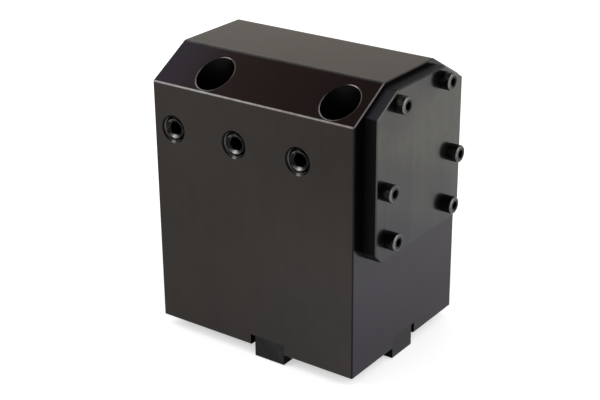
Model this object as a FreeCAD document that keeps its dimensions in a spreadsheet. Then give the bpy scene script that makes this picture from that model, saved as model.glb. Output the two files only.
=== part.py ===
import FreeCAD, Part
import math
import os
import re

import Sketcher

# Boring bar holder for the turret of a lathe.
# Frame: millimetres, +Z up away from the turret. The origin is where the axis of
# the turret pilot meets the block's underside. The bar lies along X, its mouth
# at -X, the closed end at +X. The clamp screws come in from the front, at -Y.

doc = FreeCAD.newDocument("boring_bar_holder")

# Driving dimensions: one cell for each size that can be set by itself.
SIZES = {
    # Block
    "body_length": 94.5,
    "body_depth": 75.0,
    "axis_to_top": 30.0,
    "axis_to_right_face": 40.7,
    "top_chamfer_width": 20.0,
    "top_chamfer_angle": 30.0,
    "edge_bevel": 0.4,
    # Bar bore
    "bore_radius": 20.0,
    "bore_height": 85.0,
    "bore_lead_in": 1.0,
    # Turret pilot
    "pilot_radius": 22.5,
    "pilot_height": 4.0,
    "pilot_lead_in": 0.5,
    # Turret bolt holes, counterbored from the top chamfers
    "bolt_pitch_x": 58.0,
    "bolt_pitch_y": 58.0,
    "bolt_hole_radius": 4.5,
    "counterbore_radius": 7.5,
    "counterbore_depth": 21.0,
    # Clamp screws of the bar
    "clamp_first_inset": 9.5,
    "clamp_pitch": 30.0,
    "clamp_thread_radius": 5.0,
    "clamp_length": 16.0,
    "clamp_recess": 0.6,
    "clamp_point_radius": 3.5,
    "clamp_point_length": 1.5,
    "clamp_hex": 5.0,
    "clamp_hex_depth": 5.0,
    "clamp_hole_rim": 0.7,
    "thread_clearance": 0.05,
    # Driving keys in the underside
    "key_slot_width": 16.4,
    "key_slot_depth": 4.7,
    "key_width": 14.2,
    "key_length": 12.0,
    "key_projection": 4.5,
    "key_bevel": 0.4,
    "key_end_clearance": 0.3,
    # Key screws
    "key_thread_radius": 2.0,
    "key_screw_length": 12.0,
    "key_hole_radius": 2.25,
    "key_counterbore_radius": 3.9,
    "key_counterbore_depth": 4.6,
    # Cover plate on the right face
    "plate_side_gap": 7.0,
    "plate_thickness": 5.5,
    "plate_below_axis": 38.0,
    "plate_margin": 2.0,
    "plate_corner": 4.5,
    "plate_bevel": 0.4,
    "plate_hole_radius": 2.25,
    # Cover screws: the top pair from the top and its slopes, the others from the bore's axis
    # and the plate's sides
    "top_pair_drop": 7.5,
    "top_pair_inset": 1.2,
    "middle_pair_drop": 9.5,
    "middle_pair_inset": 6.3,
    "bottom_pair_drop": 30.4,
    "bottom_pair_inset": 9.5,
    "cover_thread_radius": 2.0,
    "cover_screw_length": 10.0,
    # Heads of the cover and key screws
    "head_radius": 3.5,
    "head_height": 4.0,
    "head_hex": 3.0,
    "head_hex_depth": 2.4,
    "tap_run_out": 1.2,
    # Coolant way: inlet, riser, side port and the channel in the cover plate
    "coolant_radius": 3.0,
    "coolant_inset": 7.7,
    "coolant_y": -14.0,
    "coolant_port_drop": 23.0,
    "inlet_recess_radius": 5.0,
    "inlet_recess_depth": 1.4,
    "inlet_seal_width": 1.5,
    "inlet_seal_height": 1.7,
    "inlet_seal_play": 0.1,
    # Seal round the bore end and the side port, in a recess of the cover plate
    "recess_depth": 1.8,
    "seal_margin": 1.2,
    "seal_width": 1.8,
    "seal_play": 0.1,
}

sheet = doc.addObject("Spreadsheet::Sheet", "Sizes")
for row, (alias, size) in enumerate(SIZES.items(), start=1):
    sheet.set(f"A{row}", alias)
    sheet.set(f"B{row}", str(size))
    sheet.setAlias(f"B{row}", alias)
doc.recompute()


def sized(words):
    """Expression in which each alias is read from the sheet."""
    return re.sub(r"[a-z_]+", lambda word: f"Sizes.{word[0]}" if word[0] in SIZES else word[0], words)


# Places that several pieces share
LEFT_FACE = "(axis_to_right_face - body_length)"
RIGHT_FACE = "axis_to_right_face"
TOP = "(bore_height + axis_to_top)"
HALF_DEPTH = "(body_depth / 2)"
FLAT_HALF = "(body_depth / 2 - top_chamfer_width)"
CHAMFER_DROP = "(top_chamfer_width * tan(top_chamfer_angle))"
KEY_SHIFT = "((key_slot_width - key_width) / 2)"
KEY_HEIGHT = "(key_slot_depth + key_projection)"
CLAMP_FIRST = f"({LEFT_FACE} + clamp_first_inset)"
COUNTERBORE_FLOOR = f"({TOP} - counterbore_depth)"
PLATE_HALF = "(body_depth / 2 - plate_side_gap)"
PLATE_BOTTOM = "(bore_height - plate_below_axis)"
COOLANT_X = "(axis_to_right_face - coolant_inset)"
COOLANT_PORT_Z = "(bore_height - coolant_port_drop)"
COVER_HOLE_DEPTH = "(cover_screw_length - plate_thickness + tap_run_out)"
KEY_TAP_DEPTH = (
    "(key_screw_length - key_slot_depth - key_projection"
    " + key_counterbore_depth + tap_run_out)"
)
PAIRS = [
    (f"({FLAT_HALF} - top_pair_inset)", f"({TOP} - top_pair_drop)"),
    (f"({PLATE_HALF} - middle_pair_inset)", "(bore_height - middle_pair_drop)"),
    (f"({PLATE_HALF} - bottom_pair_inset)", "(bore_height - bottom_pair_drop)"),
]
PLANES = {"XY": "XY_Plane", "XZ": "XZ_Plane", "YZ": "YZ_Plane"}


def new_body(label):
    """Empty body whose label names the sub-part."""
    body = doc.addObject("PartDesign::Body", label)
    body.Label = label
    return body


def new_sketch(body, name, plane, offset="0"):
    """Sketch on one of the body's own planes, shifted along the plane's normal."""
    sketch = body.newObject("Sketcher::SketchObject", name)
    role = PLANES[plane]
    support = next(item for item in body.Origin.OriginFeatures if item.Role == role)
    sketch.AttachmentSupport = [(support, "")]
    sketch.MapMode = "FlatFace"
    sketch.setExpression("AttachmentOffset.Base.z", sized(offset))
    doc.recompute()
    return sketch


def hold_point(sketch, geometry, position, place):
    """Hold one point of a sketch at a place given by two expressions."""
    for axis, words, kind in ((-2, place[0], "DistanceX"), (-1, place[1], "DistanceY")):
        if words == "0":
            sketch.addConstraint(Sketcher.Constraint("PointOnObject", geometry, position, axis))
            continue
        value = float(sketch.evalExpression(sized(words)))
        index = sketch.addConstraint(Sketcher.Constraint(kind, geometry, position, value))
        sketch.setExpression(f"Constraints[{index}]", sized(words))


def point_of(sketch, place):
    """Place given by two expressions, as a point for the first drawing."""
    x = float(sketch.evalExpression(sized(place[0])))
    y = float(sketch.evalExpression(sized(place[1])))
    return FreeCAD.Vector(x, y, 0)


def draw_polygon(sketch, places):
    """Closed outline of straight lines through the places, in order."""
    points = [point_of(sketch, place) for place in places]
    first = sketch.GeometryCount
    count = len(places)
    for i in range(count):
        sketch.addGeometry(Part.LineSegment(points[i], points[(i + 1) % count]), False)
    for i in range(count):
        sketch.addConstraint(Sketcher.Constraint("Coincident", first + i, 2, first + (i + 1) % count, 1))
    for i in range(count):
        hold_point(sketch, first + i, 1, places[i])


def draw_circle(sketch, place, radius):
    """Circle with its centre and radius from the sheet."""
    centre = point_of(sketch, place)
    size = float(sketch.evalExpression(sized(radius)))
    geometry = sketch.addGeometry(Part.Circle(centre, FreeCAD.Vector(0, 0, 1), size), False)
    hold_point(sketch, geometry, 3, place)
    index = sketch.addConstraint(Sketcher.Constraint("Radius", geometry, size))
    sketch.setExpression(f"Constraints[{index}]", sized(radius))


def draw_hexagon(sketch, across_flats):
    """Regular hexagon round the sketch's origin, two flats upright."""
    half = f"({across_flats} / 2)"
    side = f"({across_flats} / 2 / cos(30))"
    short = f"({across_flats} / 2 * tan(30))"
    draw_polygon(sketch, [
        (half, short), ("0", side), (f"- {half}", short),
        (f"- {half}", f"- {short}"), ("0", f"- {side}"), (half, f"- {short}"),
    ])


def draw_keyhole(sketch, offset):
    """Closed outline round the bore end and, in a lobe that hangs from it, the side port."""
    bore = point_of(sketch, ("0", "bore_height"))
    port = point_of(sketch, ("coolant_y", COOLANT_PORT_Z))
    big_words = f"(bore_radius + {offset})"
    small_words = f"(coolant_radius + {offset})"
    big = float(sketch.evalExpression(sized(big_words)))
    small = float(sketch.evalExpression(sized(small_words)))
    normal = FreeCAD.Vector(0, 0, 1)
    left_x = port.x - small
    right_x = port.x + small
    left_top = bore.y - math.sqrt(big ** 2 - left_x ** 2)
    right_top = bore.y - math.sqrt(big ** 2 - right_x ** 2)
    start = math.atan2(right_top - bore.y, right_x) + 2 * math.pi
    end = math.atan2(left_top - bore.y, left_x) + 2 * math.pi
    big_circle = Part.Circle(bore, normal, big)
    big_arc = sketch.addGeometry(Part.ArcOfCircle(big_circle, start, end + 2 * math.pi), False)
    small_arc = sketch.addGeometry(
        Part.ArcOfCircle(Part.Circle(port, normal, small), math.pi, 2 * math.pi), False)
    left_line = sketch.addGeometry(
        Part.LineSegment(FreeCAD.Vector(left_x, left_top, 0), FreeCAD.Vector(left_x, port.y, 0)), False)
    right_line = sketch.addGeometry(
        Part.LineSegment(FreeCAD.Vector(right_x, port.y, 0), FreeCAD.Vector(right_x, right_top, 0)), False)
    hold_point(sketch, big_arc, 3, ("0", "bore_height"))
    hold_point(sketch, small_arc, 3, ("coolant_y", COOLANT_PORT_Z))
    for arc, words, value in ((big_arc, big_words, big), (small_arc, small_words, small)):
        index = sketch.addConstraint(Sketcher.Constraint("Radius", arc, value))
        sketch.setExpression(f"Constraints[{index}]", sized(words))
    sketch.addConstraint(Sketcher.Constraint("Vertical", left_line))
    sketch.addConstraint(Sketcher.Constraint("Vertical", right_line))
    sketch.addConstraint(Sketcher.Constraint("Tangent", small_arc, 1, left_line, 2))
    sketch.addConstraint(Sketcher.Constraint("Tangent", small_arc, 2, right_line, 1))
    sketch.addConstraint(Sketcher.Constraint("Coincident", big_arc, 2, left_line, 1))
    sketch.addConstraint(Sketcher.Constraint("Coincident", big_arc, 1, right_line, 2))


def add_feature(body, kind, name, sketch, length, backwards=False):
    """Pad or pocket of a sketch. A pocket goes against the normal unless it is turned round."""
    feature = body.newObject(f"PartDesign::{kind}", name)
    feature.Profile = sketch
    feature.Reversed = backwards
    feature.setExpression("Length", sized(length))
    before = 0.0
    if kind == "Pocket":
        before = feature.BaseFeature.Shape.Volume if feature.BaseFeature else body.Tip.Shape.Volume
    doc.recompute()
    if kind == "Pocket" and feature.Shape.Volume > before - 1e-6:
        raise RuntimeError(f"{name} removes nothing")
    return feature


def add_chamfer(body, name, size, test):
    """Chamfer on those edges of the last feature that pass the test."""
    base = body.Tip
    edges = [f"Edge{i}" for i, edge in enumerate(base.Shape.Edges, start=1) if test(edge)]
    if not edges:
        raise RuntimeError(f"{name} finds no edge")
    chamfer = body.newObject("PartDesign::Chamfer", name)
    chamfer.Base = (base, edges)
    chamfer.setExpression("Size", sized(size))
    doc.recompute()
    return chamfer


def number(words):
    """Value of an expression, for the tests that pick edges."""
    return float(sheet.evalExpression(sized(words).replace("Sizes.", "")))


def on_plane(edge, axis, value):
    """True where points along an edge all lie on a plane across an axis."""
    return all(abs(getattr(point, axis) - value) < 1e-3 for point in edge.discretize(5))


def round_edge(edge, radius):
    """True for a full circle of the radius."""
    return isinstance(edge.Curve, Part.Circle) and abs(edge.Curve.Radius - radius) < 1e-3


def place_body(body, base, axis=(0, 0, 1), angle=0):
    """Turn the body about an axis and set its place by three expressions."""
    body.Placement = FreeCAD.Placement(FreeCAD.Vector(), FreeCAD.Rotation(FreeCAD.Vector(*axis), angle))
    for name, words in zip("xyz", base):
        body.setExpression(f"Placement.Base.{name}", sized(words))


def mirrored_places(half_x, half_y):
    """The four corners of a rectangle round the origin."""
    return [(f"{sx} {half_x}", f"{sy} {half_y}") for sx in ("", "-") for sy in ("", "-")]


def make_block():
    """Block with bore, pilot, bolt holes, tapped holes, key slots and coolant way."""
    body = new_body("body")

    profile = new_sketch(body, "body_profile", "YZ", LEFT_FACE)
    shoulder = f"({TOP} - {CHAMFER_DROP})"
    draw_polygon(profile, [
        (f"- {HALF_DEPTH}", "0"), (HALF_DEPTH, "0"), (HALF_DEPTH, shoulder),
        (FLAT_HALF, TOP), (f"- {FLAT_HALF}", TOP), (f"- {HALF_DEPTH}", shoulder),
    ])
    add_feature(body, "Pad", "body_block", profile, "body_length")
    add_chamfer(body, "body_bevels", "edge_bevel", lambda edge: True)

    pilot = new_sketch(body, "pilot_circle", "XY")
    draw_circle(pilot, ("0", "0"), "pilot_radius")
    add_feature(body, "Pad", "pilot", pilot, "pilot_height", backwards=True)
    pilot_end = -number("pilot_height")
    add_chamfer(body, "pilot_lead", "pilot_lead_in", lambda edge: on_plane(edge, "z", pilot_end))

    bore = new_sketch(body, "bore_circle", "YZ", LEFT_FACE)
    draw_circle(bore, ("0", "bore_height"), "bore_radius")
    add_feature(body, "Pocket", "bar_bore", bore, "body_length", backwards=True)
    mouth = number(LEFT_FACE)
    bore_radius = number("bore_radius")
    add_chamfer(body, "bore_lead", "bore_lead_in",
                lambda edge: round_edge(edge, bore_radius) and on_plane(edge, "x", mouth))

    bolts = new_sketch(body, "bolt_circles", "XY", "- pilot_height")
    heads = new_sketch(body, "counterbore_circles", "XY", COUNTERBORE_FLOOR)
    for place in mirrored_places("bolt_pitch_x / 2", "bolt_pitch_y / 2"):
        draw_circle(bolts, place, "bolt_hole_radius")
        draw_circle(heads, place, "counterbore_radius")
    add_feature(body, "Pocket", "bolt_holes", bolts, f"{TOP} + pilot_height", backwards=True)
    add_feature(body, "Pocket", "counterbores", heads, "counterbore_depth", backwards=True)

    clamps = new_sketch(body, "clamp_circles", "XZ", HALF_DEPTH)
    for i in range(3):
        draw_circle(clamps, (f"{CLAMP_FIRST} + {i} * clamp_pitch", "bore_height"),
                    "clamp_thread_radius + thread_clearance")
    add_feature(body, "Pocket", "clamp_holes", clamps, HALF_DEPTH)
    front = -number(HALF_DEPTH)
    clamp_radius = number("clamp_thread_radius + thread_clearance")
    add_chamfer(body, "clamp_rims", "clamp_hole_rim",
                lambda edge: round_edge(edge, clamp_radius) and on_plane(edge, "y", front))

    slots = new_sketch(body, "key_slot_outlines", "XY", "- key_projection")
    half = "(key_slot_width / 2)"
    reach = "(key_length + key_end_clearance)"
    ends = [
        (f"- {half}", half, f"- {HALF_DEPTH}", f"({reach} - {HALF_DEPTH})"),
        (f"- {half}", half, f"({HALF_DEPTH} - {reach})", HALF_DEPTH),
        (LEFT_FACE, f"({LEFT_FACE} + {reach})", f"- {half}", half),
        (f"({RIGHT_FACE} - {reach})", RIGHT_FACE, f"- {half}", half),
    ]
    for x0, x1, y0, y1 in ends:
        draw_polygon(slots, [(x0, y0), (x1, y0), (x1, y1), (x0, y1)])
    add_feature(body, "Pocket", "key_slots", slots, KEY_HEIGHT, backwards=True)

    taps = new_sketch(body, "key_tap_circles", "XY", "key_slot_depth")
    for x, y, _ in key_places():
        draw_circle(taps, (x, y), "key_thread_radius + thread_clearance")
    add_feature(body, "Pocket", "key_taps", taps, KEY_TAP_DEPTH, backwards=True)

    cover_taps = new_sketch(body, "cover_tap_circles", "YZ", RIGHT_FACE)
    for y, z in cover_places():
        draw_circle(cover_taps, (y, z), "cover_thread_radius + thread_clearance")
    add_feature(body, "Pocket", "cover_taps", cover_taps, COVER_HOLE_DEPTH)

    riser = new_sketch(body, "riser_circle", "XY")
    draw_circle(riser, (COOLANT_X, "coolant_y"), "coolant_radius")
    add_feature(body, "Pocket", "coolant_riser", riser, COOLANT_PORT_Z, backwards=True)
    recess = new_sketch(body, "inlet_recess_circle", "XY")
    draw_circle(recess, (COOLANT_X, "coolant_y"), "inlet_recess_radius")
    add_feature(body, "Pocket", "inlet_recess", recess, "inlet_recess_depth", backwards=True)
    port = new_sketch(body, "side_port_circle", "YZ", RIGHT_FACE)
    draw_circle(port, ("coolant_y", COOLANT_PORT_Z), "coolant_radius")
    add_feature(body, "Pocket", "side_port", port, "coolant_inset")
    return body


def cover_places():
    """Centres of the cover screws in the right face, each pair left then right."""
    return [(f"{sign} {y}", z) for y, z in PAIRS for sign in ("-", "")]


def key_places():
    """Centre of each key, each against the same side of its slot, and its turn."""
    middle = "(key_length / 2)"
    return [
        (KEY_SHIFT, f"({middle} - {HALF_DEPTH})", 0),
        (KEY_SHIFT, f"({HALF_DEPTH} - {middle})", 0),
        (f"({LEFT_FACE} + {middle})", f"- {KEY_SHIFT}", 90),
        (f"({RIGHT_FACE} - {middle})", f"- {KEY_SHIFT}", 90),
    ]


def make_cover_plate():
    """Plate that closes the bore end and carries the coolant from the side port to the bore."""
    body = new_body("cover_plate")
    slope = "(plate_margin / cos(top_chamfer_angle))"
    side_top = f"({TOP} - ({PLATE_HALF} - {FLAT_HALF}) * tan(top_chamfer_angle) - {slope})"
    top_half = f"({FLAT_HALF} + (plate_margin - {slope}) / tan(top_chamfer_angle))"
    top = f"({TOP} - plate_margin)"
    low = f"({PLATE_BOTTOM} + plate_corner)"
    inner = f"({PLATE_HALF} - plate_corner)"
    outline = new_sketch(body, "plate_outline", "YZ", RIGHT_FACE)
    draw_polygon(outline, [
        (f"- {inner}", PLATE_BOTTOM), (inner, PLATE_BOTTOM), (PLATE_HALF, low), (PLATE_HALF, side_top),
        (top_half, top), (f"- {top_half}", top), (f"- {PLATE_HALF}", side_top), (f"- {PLATE_HALF}", low),
    ])
    add_feature(body, "Pad", "plate", outline, "plate_thickness")
    outside = number(f"{RIGHT_FACE} + plate_thickness")
    add_chamfer(body, "plate_bevels", "plate_bevel", lambda edge: on_plane(edge, "x", outside))

    holes = new_sketch(body, "plate_hole_circles", "YZ", f"{RIGHT_FACE} + plate_thickness")
    for place in cover_places():
        draw_circle(holes, place, "plate_hole_radius")
    add_feature(body, "Pocket", "plate_holes", holes, "plate_thickness")

    recess = new_sketch(body, "recess_outline", "YZ", RIGHT_FACE)
    draw_keyhole(recess, "seal_margin + seal_width")
    add_feature(body, "Pocket", "coolant_recess", recess, "recess_depth", backwards=True)
    return body


def make_cover_seal():
    """Moulded seal that lines the wall of the cover plate's recess, pressed against the block."""
    body = new_body("cover_seal")
    outline = new_sketch(body, "seal_outline", "YZ", RIGHT_FACE)
    draw_keyhole(outline, "seal_margin")
    draw_keyhole(outline, "seal_margin + seal_width - seal_play")
    add_feature(body, "Pad", "seal", outline, "recess_depth")
    return body


def make_turned(label, places, hex_flats, hex_depth, hex_face):
    """Screw along X: a half profile turned about X, with a hexagon socket in its outer end."""
    body = new_body(label)
    profile = new_sketch(body, f"{label}_profile", "XY")
    draw_polygon(profile, places)
    turned = body.newObject("PartDesign::Revolution", f"{label}_turned")
    turned.Profile = profile
    turned.ReferenceAxis = (profile, ["H_Axis"])
    turned.Angle = 360
    doc.recompute()
    socket = new_sketch(body, f"{label}_hexagon", "YZ", hex_face)
    draw_hexagon(socket, hex_flats)
    add_feature(body, "Pocket", f"{label}_socket", socket, hex_depth)
    return body


def make_cap_screw(label, thread_radius, length):
    """Socket head screw. Its head sits on x = 0 and its thread runs to -X."""
    places = [
        (f"- {length}", "0"), (f"- {length}", thread_radius), ("0", thread_radius),
        ("0", "head_radius"), ("head_height", "head_radius"), ("head_height", "0"),
    ]
    return make_turned(label, places, "head_hex", "head_hex_depth", "head_height")


def make_clamp_screw(label):
    """Set screw with a dog point that clamps the bar. Its outer end is at x = 0, its point at -X."""
    radius = "clamp_thread_radius"
    places = [
        ("- clamp_length", "0"), ("- clamp_length", "clamp_point_radius"),
        ("clamp_point_length - clamp_length", "clamp_point_radius"),
        ("clamp_point_length - clamp_length", radius), ("0", radius), ("0", "0"),
    ]
    return make_turned(label, places, "clamp_hex", "clamp_hex_depth", "0")


def make_key(label):
    """Driving key with bevelled edges and a counterbored hole for its screw."""
    body = new_body(label)
    outline = new_sketch(body, f"{label}_outline", "XY", "- key_projection")
    half_width = "(key_width / 2)"
    half_length = "(key_length / 2)"
    draw_polygon(outline, [
        (f"- {half_width}", f"- {half_length}"), (half_width, f"- {half_length}"),
        (half_width, half_length), (f"- {half_width}", half_length),
    ])
    add_feature(body, "Pad", f"{label}_block", outline, KEY_HEIGHT)
    bottom = -number("key_projection")
    add_chamfer(body, f"{label}_bevels", "key_bevel", lambda edge: on_plane(edge, "z", bottom))
    hole = new_sketch(body, f"{label}_hole_circle", "XY", "- key_projection")
    draw_circle(hole, ("0", "0"), "key_hole_radius")
    add_feature(body, "Pocket", f"{label}_hole", hole, KEY_HEIGHT, backwards=True)
    head = new_sketch(body, f"{label}_head_circle", "XY", "- key_projection")
    draw_circle(head, ("0", "0"), "key_counterbore_radius")
    add_feature(body, "Pocket", f"{label}_head", head, "key_counterbore_depth", backwards=True)
    return body


def make_inlet_seal():
    """Ring seal in the recess round the coolant inlet, standing a little proud of the underside."""
    body = new_body("inlet_seal")
    outer = "inlet_recess_radius - inlet_seal_play"
    ring = new_sketch(body, "ring_circles", "XY", "inlet_recess_depth")
    draw_circle(ring, (COOLANT_X, "coolant_y"), outer)
    draw_circle(ring, (COOLANT_X, "coolant_y"), f"{outer} - inlet_seal_width")
    add_feature(body, "Pad", "ring", ring, "inlet_seal_height", backwards=True)
    return body


parts = [make_block(), make_cover_plate(), make_cover_seal()]

for number_in_row, (y, z) in enumerate(cover_places(), start=1):
    screw = make_cap_screw(f"cover_screw_{number_in_row}", "cover_thread_radius", "cover_screw_length")
    place_body(screw, (f"{RIGHT_FACE} + plate_thickness", y, z))
    parts.append(screw)

for side, (x, y, turn) in zip(("front", "back", "left", "right"), key_places()):
    key = make_key(f"key_{side}")
    place_body(key, (x, y, "0"), angle=turn)
    parts.append(key)
    screw = make_cap_screw(f"key_screw_{side}", "key_thread_radius", "key_screw_length")
    place_body(screw, (x, y, "key_counterbore_depth - key_projection"), axis=(0, 1, 0), angle=90)
    parts.append(screw)

for i in range(3):
    screw = make_clamp_screw(f"clamp_screw_{i + 1}")
    base = (f"{CLAMP_FIRST} + {i} * clamp_pitch", f"clamp_recess - {HALF_DEPTH}", "bore_height")
    place_body(screw, base, angle=-90)
    parts.append(screw)

parts.append(make_inlet_seal())
doc.recompute()

for item in doc.Objects:
    if "Invalid" in item.State or "Error" in item.State:
        raise RuntimeError(f"{item.Label} failed: {item.State}")
for part in parts:
    if part.Shape.isNull() or not part.Shape.isValid() or len(part.Shape.Solids) != 1:
        raise RuntimeError(f"{part.Label} is not one valid solid")

os.makedirs("parts", exist_ok=True)
for part in parts:
    part.Shape.exportStep(f"parts/{part.Label}.step")
    print(part.Label, round(part.Shape.Volume, 1), "mm3")
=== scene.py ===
import math
from functools import partialmethod

import bmesh
import bpy
import numpy as np
from bpy.props import FloatProperty, FloatVectorProperty, IntProperty, PointerProperty
from bpy.types import Operator, Panel, PropertyGroup
from mathutils import Matrix, Vector


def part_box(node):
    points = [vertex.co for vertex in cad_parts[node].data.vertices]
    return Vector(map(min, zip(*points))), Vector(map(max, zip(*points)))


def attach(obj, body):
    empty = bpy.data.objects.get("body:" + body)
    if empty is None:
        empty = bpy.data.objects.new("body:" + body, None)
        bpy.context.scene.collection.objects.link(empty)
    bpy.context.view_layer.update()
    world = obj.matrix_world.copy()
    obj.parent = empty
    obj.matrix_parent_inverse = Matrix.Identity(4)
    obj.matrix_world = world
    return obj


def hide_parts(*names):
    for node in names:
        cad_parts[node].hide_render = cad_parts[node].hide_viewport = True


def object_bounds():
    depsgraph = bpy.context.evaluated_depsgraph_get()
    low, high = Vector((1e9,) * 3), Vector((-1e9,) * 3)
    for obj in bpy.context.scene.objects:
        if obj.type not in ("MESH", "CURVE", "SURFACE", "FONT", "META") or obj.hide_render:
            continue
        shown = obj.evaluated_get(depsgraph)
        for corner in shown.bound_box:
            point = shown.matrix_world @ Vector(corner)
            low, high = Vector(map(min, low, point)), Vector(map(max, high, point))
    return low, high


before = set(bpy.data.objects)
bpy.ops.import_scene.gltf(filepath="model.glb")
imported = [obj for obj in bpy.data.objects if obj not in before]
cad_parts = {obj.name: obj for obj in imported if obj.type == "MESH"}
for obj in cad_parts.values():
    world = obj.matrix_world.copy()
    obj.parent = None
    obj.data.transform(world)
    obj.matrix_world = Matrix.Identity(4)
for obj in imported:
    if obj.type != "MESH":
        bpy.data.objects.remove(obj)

bl_info = {
    "name": "Boring Bar Holder",
    "version": (1, 0, 0),
    "blender": (4, 5, 0),
    "location": "3D View > Sidebar > Bar Holder",
    "description": "Screws, threads, seals, steel finishes and studio for a boring bar holder",
    "category": "Object",
}

MM = 0.001
CAD_LOW, CAD_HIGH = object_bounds()
BLOCK_LOW, BLOCK_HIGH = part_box("body")
PLATE_LOW, PLATE_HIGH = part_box("cover_plate")
# Places that the finish and its painted light and shade follow: bolt wells, bar bore, clamp holes, worn edges
# and slopes
WELL_PLACE, WELL_RADIUS, WELL_FLOOR = 29.0 * MM, 7.5 * MM, 94.3 * MM
BORE_HEIGHT, BORE_RADIUS = 85.0 * MM, 20.0 * MM
CLAMP_FIRST, CLAMP_STEP, CLAMP_RIM = -44.3 * MM, 30.0 * MM, 5.72 * MM
BEVEL = 0.42 * MM
FLAT_HALF = 17.5 * MM
PLATE_MARGIN = 2.0 * MM
SLOPE = math.radians(30.0)
# How far the planes of the two slopes lie from the origin
SLOPE_REACH = FLAT_HALF * math.sin(SLOPE) + BLOCK_HIGH.z * math.cos(SLOPE)
PLATE_SHOULDER = (BLOCK_HIGH.z - (PLATE_HIGH.y - FLAT_HALF) * math.tan(SLOPE)
                  - PLATE_MARGIN / math.cos(SLOPE))
THREAD_DEPTH = 0.541
HOLDER = "holder"


# Sizes and colours that a user would change

def length(name, words, millimetres):
    """A length property whose default is given in millimetres."""
    return FloatProperty(
        name=name, description=words, default=millimetres * MM, min=0.0, subtype="DISTANCE", unit="LENGTH",
        precision=5)


def share(name, words, value, top=1.0):
    """A plain number between zero and top."""
    return FloatProperty(name=name, description=words, default=value, min=0.0, max=top)


def colour(name, words, value):
    """A colour in linear values."""
    return FloatVectorProperty(
        name=name, description=words, default=value, size=3, min=0.0, max=1.0, subtype="COLOR")


def angle(name, words, degrees):
    """An angle property whose default is given in degrees."""
    return FloatProperty(name=name, description=words, default=math.radians(degrees), subtype="ANGLE",
                         unit="ROTATION")


class HolderScrewSizes(PropertyGroup):
    """Sizes of the cap screws and the clamp screws."""

    head_radius: length("Head Radius", "Radius of a cap screw's head", 3.5)
    head_height: length("Head Height", "Height of a cap screw's head", 4.0)
    head_bevel: length("Head Bevel", "Bevel round the head's outer end", 0.6)
    head_hex: length("Head Hexagon", "Socket of a cap screw, across flats", 3.0)
    head_cone: length("Head Socket Cone", "Bevel round a cap screw's socket", 0.15)
    head_hex_depth: length("Head Socket Depth", "Depth of a cap screw's socket", 2.4)
    knurl_ridges: IntProperty(
        name="Knurl Ridges", description="Ridges round a cap screw's head", default=40, min=8, max=120)
    knurl_depth: length("Knurl Depth", "Depth of the knurl", 0.07)
    cap_radius: length("Cap Screw Thread Radius", "Crest radius of the M4 thread", 1.98)
    cap_pitch: length("Cap Screw Pitch", "Pitch of the M4 thread", 0.7)
    clamp_radius: length("Clamp Screw Thread Radius", "Crest radius of the M10 thread", 4.97)
    clamp_pitch: length("Clamp Screw Pitch", "Pitch of the M10 thread", 1.5)
    clamp_hex: length("Clamp Hexagon", "Socket of a clamp screw, across flats", 5.0)
    clamp_hex_depth: length("Clamp Socket Depth", "Depth of a clamp screw's socket", 5.0)
    clamp_cone: length("Clamp Socket Cone", "Bevel round a clamp screw's socket", 0.9)
    point_radius: length("Point Radius", "Radius of the clamp screw's dog point", 3.5)
    point_length: length("Point Length", "Length of the clamp screw's dog point", 1.5)
    thread_gap: length("Thread Gap", "Gap between the clamp screw's thread and the tapped hole", 0.05)


class HolderSealSizes(PropertyGroup):
    """Sizes of the moulded cover seal and the inlet ring."""

    bore_radius: length("Bore Radius", "Radius of the bore end that the cover seal goes round", 20.0)
    bore_height: length("Bore Height", "Height of the bore's axis", 85.0)
    port_radius: length("Port Radius", "Radius of the coolant port in the seal's lobe", 3.0)
    port_y: FloatProperty(
        name="Port Place", description="Place of the port across the block", default=-14.0 * MM,
        subtype="DISTANCE", unit="LENGTH", precision=5)
    port_height: length("Port Height", "Height of the port", 62.0)
    margin: length("Seal Margin", "From the openings to the seal's inner wall", 1.2)
    width: length("Seal Width", "Width of the cover seal", 1.7)


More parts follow.
